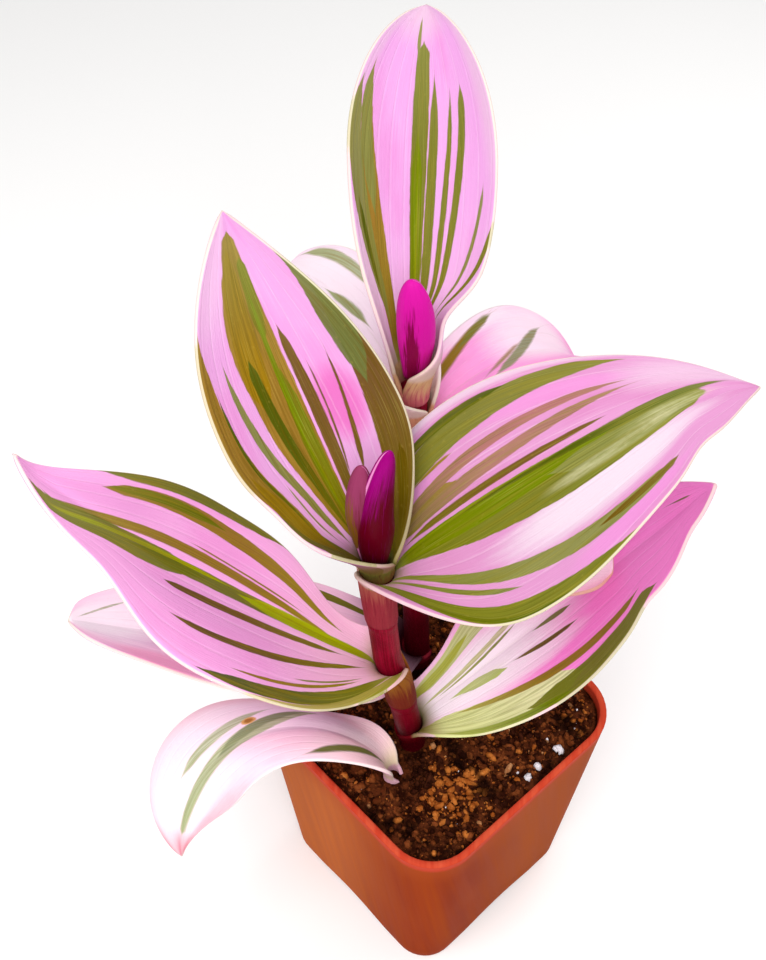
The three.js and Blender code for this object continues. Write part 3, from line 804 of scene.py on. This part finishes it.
# %% Every leaf, bent, dressed and given its thickness
BLADE = 0.75
for name, leaf in LEAVES.items():
    look = SimpleNamespace(**{**LOOK_DEFAULTS, **LOOKS[name]})
    upper = leaf_finish(name + "_upper", leaf, look, STRIPES[name])
    lower = leaf_finish(name + "_lower", leaf, look, STRIPES[name], under=True)
    made = piece(name + "_skin", bend_leaf(leaf), [upper, lower], name)
    wall = made.modifiers.new("thickness", "SOLIDIFY")
    wall.thickness = BLADE * MM
    wall.offset = 0
    wall.use_even_offset = False
    wall.material_offset = 1
    refine(made)
    print(name, "faces:", len(made.data.polygons), "nodes:", len(upper.tree.nodes))


# %% [markdown]
# ## Stems and their finish
# The stem is a rod of soft crimson flesh. It is a grid rolled into a tube: rows go up the
# centre line, columns go round it. Low rings mark the nodes.

# %% Rolling a grid round a centre line
def roll_tube(middle_of, radius_of, z0, z1, rows, columns):
    """A closed tube: middle_of(z) and radius_of(z, angle) give its line and its section."""
    bm = bmesh.new()
    bmesh.ops.create_grid(bm, x_segments=rows, y_segments=columns, size=1)
    skin_map = bm.loops.layers.uv.new("skin")
    for face in bm.faces:
        for loop in face.loops:
            loop[skin_map].uv = ((loop.vert.co.x + 1) / 2, (loop.vert.co.y + 1) / 2)
    for vert in bm.verts:
        z = z0 + (z1 - z0) * (vert.co.x + 1) / 2
        angle = pi * vert.co.y
        vert.co = place(*(middle_of(z) + level(angle) * radius_of(z, angle)))
    bmesh.ops.remove_doubles(bm, verts=bm.verts, dist=WELD)
    bmesh.ops.holes_fill(bm, edges=bm.edges, sides=columns * 2)
    bmesh.ops.recalc_face_normals(bm, faces=bm.faces)
    return bm


def stem_finish():
    finish = Finish("crimson_flesh", Specular_IOR_Level=0.05)
    up, around = finish.uv("skin")
    streaks = finish.noise((up * 3, around * 40), 2.0, 3.0)
    patches = finish.noise(finish.object_place(), 160.0, 2.0)
    cells = finish.node("TexVoronoi", {"feature": "DISTANCE_TO_EDGE"},
                        Vector=(up * 90, around * 36), Scale=1.0)
    colour = finish.paint(
        (108, 0, 22), ((152, 8, 46), streaks.step(0.35, 0.7)),
        ((86, 0, 14), patches.step(0.45, 0.75) * 0.5),
        # Painted shade: the stem darkens to near black towards its foot, low under the leaves.
        ((96, 0, 14), up.step(0.62, 0.52) * 0.7), ((48, 0, 4), up.step(0.5, 0.4) * 0.9),
        ((120, 8, 40), cells.step(0.05, 0.0) * 0.25))
    return finish.show(colour, patches * 0.2 + 0.3,
                       streaks * 0.7 + cells.step(0.0, 0.1) * 0.2, 0.0002)


STEM_SKIN = stem_finish()
STEM_FOOT = 30
RING_HEIGHT, RING_REACH = 0.9, 0.22
STEMS = {
    "stem_front": (FRONT_STEM, 113.6, (73.4, 99.2)),
    "stem_back": (BACK_STEM, 126, (57.8, 74.0, 102.6)),
}
for name, (path, top, rings) in STEMS.items():
    def stem_radius(z, angle):
        reach = STEM_RADIUS + 0.06 + 0.06 * cos(2 * angle + z * 0.03)
        for ring in rings:
            reach += RING_REACH * exp(-((z - ring) / RING_HEIGHT) ** 2)
        return reach * (1 - 0.55 * ease(z, top - 2.0, top))

    bm = roll_tube(lambda z: along(path, z), stem_radius, STEM_FOOT, top, 130, 40)
    made = piece(name + "_skin", bm, [STEM_SKIN], name)
    print(name, "faces:", len(made.data.polygons))


# %% [markdown]
# ## Rolled young leaves
# At the end of each stem a young leaf is still rolled up like a cigar. Its section is a
# spiral: going once round, the skin lifts a little, and the step where it meets itself is the
# leaf's own margin, with a pale line along it. It is dark below dark_from, and heart is the
# colour of a streak up one side.

# %% Shoots
SPIRAL_STEP = 0.14
SHOOTS = {
    "bud_front_spear": dict(
        node="bud_front", foot=(-11.3, -9, 114.6), tip=(-9.1, -9.3, 141.5), half=3.1, depth=0.8,
        turn=2.95, bow=0.8, bulge=0.34, point=0.85, finish="magenta_spear",
        light=(146, 0, 110), dark=(86, 0, 20), dark_from=0.92,
        heart=(84, 0, 14), heart_at=0.9),
    "bud_front_young": dict(
        node="bud_front", foot=(-11.8, -8.4, 115), tip=(-13.2, -8.2, 137), half=2.6, depth=0.75,
        turn=0.4, bow=0.6, bulge=0.5, point=0.3, finish="mauve_young_leaf",
        light=(138, 52, 88), dark=(100, 30, 38), dark_from=0.85,
        heart=(120, 84, 8), heart_at=0.66),
    "bud_back_spear": dict(
        node="bud_back", foot=(-4.8, 20.8, 127.0), tip=(-5.5, 20.6, 147.6), half=3.1, depth=0.78,
        turn=0.1, bow=-0.4, bulge=0.55, point=0, finish="rose_spear",
        light=(202, 22, 150), dark=(190, 26, 120), dark_from=0.4,
        heart=(104, 4, 14), heart_at=0.72),
}


def shoot_mesh(shoot):
    """A spear from foot to tip, whose section is one turn of a spiral. bow bends it to the
    left, bulge is where it is widest, and point makes it narrow sooner above that."""
    a, b = Vector(shoot.foot), Vector(shoot.tip)

    def middle(k):
        return a.lerp(b, k) - Vector((shoot.bow * sin(pi * k), 0, 0))

    def reach(k, angle):
        if k < shoot.bulge:
            share = 0.6 + 0.4 * sin(k / shoot.bulge * pi / 2)
        else:
            x = (k - shoot.bulge) / (1 - shoot.bulge)
            share = (1 - shoot.point) * sqrt(clip(1 - x * x)) \
                + shoot.point * (1 - 0.62 * x) * clip(1 - x ** 10) ** 0.5
        lifted = 1 + SPIRAL_STEP * (((angle + shoot.turn) / tau) % 1.0 - 0.5)
        across = hypot(cos(angle), shoot.depth * sin(angle))
        return shoot.half * share * lifted * across

    return roll_tube(middle, reach, 0, 1, 64, 48)


def shoot_finish(shoot):
    finish = Finish(shoot.finish, Specular_IOR_Level=0.04)
    up, around = finish.uv("skin")
    k = (around + (shoot.turn / tau - 0.5)).math("FRACT")
    streaks = finish.noise((up * 2.2, around * 30), 2.0, 3.0)
    lean = up + (streaks - 0.5) * 0.7 + ((around - 0.5) * tau).math("COSINE") * -0.16
    lines = streaks.step(0.56, 0.7)
    band = (abs(k - shoot.heart_at) + (streaks - 0.5) * 0.18 + up * 0.1).step(0.13, 0.08) \
        * (up + (streaks - 0.5) * 0.6).step(0.8, 0.55)
    hem = k.step(0.026, 0.01).math("MAXIMUM", k.step(0.99, 0.996))
    colour = finish.paint(
        shoot.light, (shoot.dark, lean.step(shoot.dark_from, shoot.dark_from - 0.42)),
        (shoot.light, lines * 0.3), ((226, 96, 180), streaks.step(0.68, 0.84) * 0.25),
        (shoot.heart, band * 0.85), ((218, 132, 186), hem * up.step(0.02, 0.1)))
    return finish.show(colour, streaks * 0.16 + 0.3, lines * 0.4 + streaks * 0.5, 0.0002)


for name, spec in SHOOTS.items():
    shoot = SimpleNamespace(**spec)
    made = piece(name, shoot_mesh(shoot), [shoot_finish(shoot)], shoot.node)
    refine(made)
print("shoots:", len(SHOOTS))


# %% [markdown]
# ## Pot
# The pot is thin moulded plastic. Its section is a square with round corners, wider at the
# rim. One grid is rolled round the whole profile: out from the middle of the underside, up
# the wall, over the rounded rim, down inside and across the floor. Air slots under each side
# and a drain hole near each corner are cut out afterwards.

# %% Pot sizes and section
POT_HEIGHT = 57.0
RIM_SIDE, RIM_CORNER = 54.0, 10.0
BASE_SIDE, BASE_CORNER = 45.0, 7.0
WALL = 1.3
FLOOR = 3.1
BASE_EDGE = 0.6
DRAIN_RADIUS, DRAIN_PLACE = 2.5, 12.5


def rounded_reach(angle, half, corner):
    """Distance from the middle of a rounded square to its edge, in the direction angle."""
    c, s = abs(cos(angle)), abs(sin(angle))
    big, small = max(c, s), min(c, s)
    if small * half <= big * (half - corner):
        return half / big
    inner = half - corner
    along_ray = inner * (big + small)
    return along_ray + sqrt(max(0.0, along_ray ** 2 - 2 * inner ** 2 + corner ** 2))


def pot_section(z, inset):
    k = z / POT_HEIGHT
    half = (BASE_SIDE + (RIM_SIDE - BASE_SIDE) * k) / 2 - inset
    corner = max(2.0, BASE_CORNER + (RIM_CORNER - BASE_CORNER) * k - inset)
    return half, corner


def pot_profile():
    """Stations of the profile as (height, inset, share of the full section)."""
    stations = [(0, BASE_EDGE, share / 8) for share in range(0, 9)]
    stations += [(0.15, BASE_EDGE * 0.3, 1), (BASE_EDGE, 0, 1)]
    stations += [(z, 0, 1) for z in range(3, 56, 4)]
    for i in range(0, 11):
        a = i / 10 * pi
        bead = 0.25 * sin(a)
        stations.append((POT_HEIGHT - WALL / 2 + WALL / 2 * sin(a),
                         WALL / 2 - (WALL / 2) * cos(a) - bead * cos(a), 1))
    stations += [(z, WALL, 1) for z in range(52, 5, -5)]
    stations += [(FLOOR + 1.2, WALL, 1), (FLOOR + 0.35, WALL + 0.35, 1), (FLOOR, WALL + 1.2, 1)]
    stations += [(FLOOR, WALL + 1.2, 1 - share / 6) for share in range(1, 7)]
    return stations


def roll_section(stations, columns):
    """A skin over stations, each a section of the pot at its own height."""
    last = len(stations) - 1
    bm = bmesh.new()
    bmesh.ops.create_grid(bm, x_segments=last, y_segments=columns, size=1)
    for vert in bm.verts:
        z, inset, share = stations[round((vert.co.x + 1) / 2 * last)]
        angle = pi * vert.co.y
        half, corner = pot_section(z, inset)
        reach = rounded_reach(angle, half, corner) * share
        vert.co = Vector((cos(angle) * reach, sin(angle) * reach, z)) * MM
    bmesh.ops.remove_doubles(bm, verts=bm.verts, dist=FINE_WELD)
    bmesh.ops.recalc_face_normals(bm, faces=bm.faces)
    return bm


# %% Pot finish
def pot_finish():
    finish = Finish("terracotta_plastic", Specular_IOR_Level=0.01)
    parts = finish.node("SeparateXYZ", Vector=finish.object_place())
    x, y, z = parts["X"], parts["Y"], parts["Z"]
    side = x + y
    slant = side * 170 + z * 30
    # Streaks in the plastic, partly painted reflection: slanting darker streaks down the walls.
    streaks_and_reflection = finish.noise((slant, z * 14, 1.0), 1.0, 3.0, 0.55)
    grain = finish.noise((slant * 3.2, z * 24, x * 60), 1.0, 3.0)
    glow = finish.noise((side * 34, z * 30, 4.0), 1.0, 2.0)
    colour = finish.paint(
        (142, 50, 0), ((130, 40, 0), streaks_and_reflection.step(0.35, 0.7)),
        ((166, 76, 14), grain.step(0.45, 0.85) * 0.3),
        ((152, 62, 4), glow.step(0.45, 0.8) * 0.5),
        # Painted light: the wall on one side is painted lighter and the wall on the other side
        # darker, as the lamps would light them.
        ((184, 98, 42), side.step(-0.008, -0.03) * (grain * 0.7 + 0.4)),
        ((156, 74, 20), side.step(0.008, 0.03) * (grain * 0.6 + 0.3)),
        ((160, 66, 18), z.step(0.046, 0.054) * 0.4),
        ((184, 60, 38), z.step(0.0538, 0.0554)),
        # Painted highlight along the crest of the rolled rim.
        ((204, 90, 60), z.step(0.0562, 0.057) * grain.step(0.35, 0.7) * 0.6))
    return finish.show(colour, grain * 0.2 + 0.4, grain * 0.6 + streaks_and_reflection * 0.5, 0.00025, 0.4)


# %% Pot mesh with its slots and drain holes
def slot_and_drain(quarter):
    """The arch-shaped air slot under one side, and the drain hole near one corner."""
    width, rise, depth = 31.0, 2.3, 5.0
    bm = bmesh.new()
    bmesh.ops.create_grid(bm, x_segments=24, y_segments=1, size=1)
    for vert in bm.verts:
        x = vert.co.x * width / 2
        top = rise * (0.5 + 0.5 * cos(tau * x / width))
        vert.co = Vector((x, -BASE_SIDE / 2 + 3.0, top if vert.co.y > 0 else -1.0))
    moved = bmesh.ops.extrude_face_region(bm, geom=bm.faces[:])
    new_verts = [g for g in moved["geom"] if isinstance(g, bmesh.types.BMVert)]
    bmesh.ops.translate(bm, verts=new_verts, vec=(0, -depth, 0))
    hole = bmesh.ops.create_cone(bm, cap_ends=True, segments=32, radius1=DRAIN_RADIUS,
                                 radius2=DRAIN_RADIUS, depth=8)
    bmesh.ops.translate(bm, verts=hole["verts"], vec=(DRAIN_PLACE, DRAIN_PLACE, 0))
    bmesh.ops.recalc_face_normals(bm, faces=bm.faces)
    turn = Matrix.Rotation(radians(90 * quarter), 4, "Z") @ Matrix.Scale(MM, 4)
    bmesh.ops.transform(bm, matrix=turn, verts=bm.verts)
    return add_object("cutter_%d" % quarter, bm)


pot = piece("pot_shell", roll_section(pot_profile(), 160), [pot_finish()],
            "pot")
cutters = [slot_and_drain(quarter) for quarter in range(4)]
for tool in cutters:
    cut = pot.modifiers.new("cut", "BOOLEAN")
    cut.object = tool
    cut.operation = "DIFFERENCE"
    cut.solver = "EXACT"
bpy.context.view_layer.update()
ready = pot.evaluated_get(bpy.context.evaluated_depsgraph_get())
shaped = bpy.data.meshes.new_from_object(ready)
pot.modifiers.clear()
pot.data = shaped
for tool in cutters:
    bpy.data.objects.remove(tool)
pot.data.shade_smooth()
pot.data.set_sharp_from_angle(angle=radians(35))
print("pot faces:", len(pot.data.polygons))


# %% [markdown]
# ## Potting mix
# The mix fills the pot nearly to the rim. Its body is one closed lump with an uneven top. On
# top lie crumbs: small lumps in a few sizes and browns, some fibres and a few white grains.

# %% The lump of mix
SOIL_EDGE = 55.2
SOIL_MOUND = 0.9
SOIL_REACH = 25.4
GAP = 0.3


def soil_top(x, y):
    """Height of the mix at a place in the scene, in millimetres."""
    share = max(abs(x), abs(y)) / SOIL_REACH
    z = SOIL_EDGE + SOIL_MOUND * (1 - share * share)
    z += 0.35 * sin(0.55 * x + 0.3 * y) * cos(0.42 * y - 0.25 * x) * ease(share, 1, 0.9)
    rough = noise.fractal(Vector((x * 0.5, y * 0.5, 4.0)), 0.9, 2.1, 4)
    return z + 0.3 * rough * ease(share, 1.0, 0.85) - 0.25


def soil_mesh():
    inset = WALL + GAP
    stations = [(SOIL_EDGE, inset, share / 60) for share in range(0, 61)]
    stations += [(z, inset, 1) for z in range(54, 4, -5)]
    stations += [(FLOOR + GAP, inset, share) for share in (1, 0.5, 0)]
    bm = roll_section(stations, 200)
    for vert in bm.verts:
        if vert.co.z > (SOIL_EDGE - 0.1) * MM:
            x, y = vert.co.x / MM, vert.co.y / MM
            vert.co.z = soil_top(x, y) * MM
    return bm


def soil_finish(name, dark, mid, light):
    finish = Finish(name, Specular_IOR_Level=0.02)
    spot = finish.object_place()
    coarse = finish.noise(spot, 420.0, 4.0, 0.65)
    fine = finish.noise(spot, 1700.0, 3.0, 0.6)
    hollow_shade = finish.noise(spot, 150.0, 3.0, 0.6)
    colour = finish.paint(dark, (mid, coarse.step(0.4, 0.62)),
                          (light, fine.step(0.58, 0.75) * 0.6),
                          # Painted shade: near-black patches for the shaded hollows between the
                          # crumbs.
                          ((16, 4, 2), hollow_shade.step(0.5, 0.36) * 0.85))
    return finish.show(colour, fine * 0.3 + 0.6, coarse * 0.7 + fine * 0.4, 0.0006, 0.9)


MIX = soil_finish("damp_mix", (38, 12, 4), (84, 40, 18), (134, 76, 36))
soil = piece("soil_body", soil_mesh(), [MIX], "soil")
print("mix faces:", len(soil.data.polygons))


# %% Crumbs, fibres and white grains
CRUMB_FINISHES = [
    soil_finish("crumb_black", (34, 10, 4), (62, 28, 14), (98, 54, 28)),
    soil_finish("crumb_brown", (80, 36, 14), (122, 64, 30), (164, 98, 52)),
    soil_finish("crumb_rust", (136, 70, 24), (178, 104, 44), (214, 146, 76)),
    soil_finish("crumb_tan", (146, 94, 56), (180, 128, 84), (208, 166, 124)),
]
STEM_FEET = [place(-4.4, -7.5, 0), place(-3, 11, 0), place(-8, -15, 0)]
FOOT_GAP = 3.0
RUSTY_PATCH = place(3.0, -18.5, 0)
# Painted shade: a spot of black crumbs where the mix lies in shade under the leaves.
SHADE_PATCH, SHADE_REACH = place(-5.0, -15.0, 0), 4.5
BLACK, BROWNISH, RUST, TAN = range(4)
TAN_ODDS, LUMP_ODDS = 0.02, 0.92


def add_crumb(bm, centre, size, stretch, rng, finish_index, detail=1):
    lump = bmesh.ops.create_icosphere(bm, subdivisions=detail, radius=1)["verts"]
    turn = Matrix.Rotation(rng.uniform(0, tau), 4, Vector((
        rng.uniform(-1, 1), rng.uniform(-1, 1), rng.uniform(-1, 1) + 0.01)).normalized())
    scale = Matrix.Diagonal((size * stretch, size, size * rng.uniform(0.6, 1.0), 1))
    for vert in lump:
        vert.co *= rng.uniform(0.72, 1.2)
        vert.co = centre + (turn @ scale @ vert.co)
    for face in {face for vert in lump for face in vert.link_faces}:
        face.material_index = finish_index


def scatter_crumbs(count=5200):
    rng = random.Random(11)
    bm = bmesh.new()
    half, corner = pot_section(SOIL_EDGE, WALL + GAP + 0.3)
    for _ in range(count):
        x, y = rng.uniform(-25, 25), rng.uniform(-25, 25)
        size = 0.2 + 0.62 * rng.random() ** 3
        if hypot(x, y) > rounded_reach(atan2(y, x), half, corner) - size:
            continue
        here = Vector((x, y, 0)) * MM
        if min((here - foot).length for foot in STEM_FEET) < (FOOT_GAP + size) * MM:
            continue
        rust_odds = 0.10 + 0.75 * ease((here - RUSTY_PATCH).length / MM, 8.5, 4.0)
        pick = rng.random()
        index = RUST if pick < rust_odds else (BLACK if pick < rust_odds + 0.4 else BROWNISH)
        if rng.random() < TAN_ODDS:
            index = TAN
        # Painted shade: only black crumbs in the shaded spot between the ground leaf's foot and
        # the front stem.
        if (here - SHADE_PATCH).length / MM < SHADE_REACH:
            index = BLACK
        z = soil_top(x, y) + size * rng.uniform(0.0, 0.5)
        lump = rng.random() < LUMP_ODDS
        stretch = rng.uniform(1.0, 1.6) if lump else rng.uniform(2.2, 4.0)
        add_crumb(bm, Vector((x, y, z)) * MM, size * MM, stretch, rng, index)
    return bm


crumbs = piece("soil_crumbs", scatter_crumbs(), CRUMB_FINISHES)
print("crumb faces:", len(crumbs.data.polygons))


def grain_finish():
    finish = Finish("white_grain")
    bumps = finish.noise(finish.object_place(), 2400.0, 3.0)
    colour = finish.paint((184, 176, 180), ((226, 222, 226), bumps.step(0.3, 0.6)))
    return finish.show(colour, 0.8, bumps, 0.0003, 0.8)


def scatter_grains():
    rng = random.Random(5)
    bm = bmesh.new()
    spots = [(23.2, 11.3, 0.95), (22.8, 5.8, 0.8), (23.2, 2.6, 0.75), (-4.0, 17.5, 0.7)]
    for _ in range(26):
        spots.append((rng.uniform(-23, 23), rng.uniform(-23, 23), rng.uniform(0.15, 0.32)))
    for x, y, size in spots:
        z = soil_top(x, y) + size * 0.35
        add_crumb(bm, Vector((x, y, z)) * MM, size * MM, 1.2, rng, 0, detail=2)
    return bm


grains = piece("soil_grains", scatter_grains(), [grain_finish()])
print("grain faces:", len(grains.data.polygons))


# %% [markdown]
# ## Studio
# A plain pale floor and soft light from large lamps. The sky is white, so shadows stay light.

# %% Floor, sky and lamps
bm = bmesh.new()
bmesh.ops.create_grid(bm, x_segments=2, y_segments=2, size=3)
floor = add_object("floor", bm)
paper = Finish("pale_paper", Roughness=0.8, Base_Color=(252, 251, 250))
floor.data.materials.append(paper.material)

world = bpy.data.worlds.new("sky")
bpy.context.scene.world = world
world.use_nodes = True
sky = world.node_tree.nodes["Background"]
sky.inputs["Color"].default_value = (1.0, 1.0, 1.0, 1.0)
sky.inputs["Strength"].default_value = 0.6

LAMPS = [
    ("key", (-180, -200, 540), 280, 1.2),
    ("window", (240, 200, 420), 300, 0.6),
    ("front", (-10, -400, 470), 320, 1.7),
]
for name, spot, size, power in LAMPS:
    data = bpy.data.lights.new(name, "AREA")
    data.size = size * MM
    data.energy = power
    lamp = add_object(name, data)
    lamp.location = place(*spot)
    aim = place(-5, 0, 90) - lamp.location
    lamp.rotation_euler = aim.to_track_quat("-Z", "Y").to_euler()

bpy.context.scene.view_settings.view_transform = "Standard"
print("lamps:", len(LAMPS))
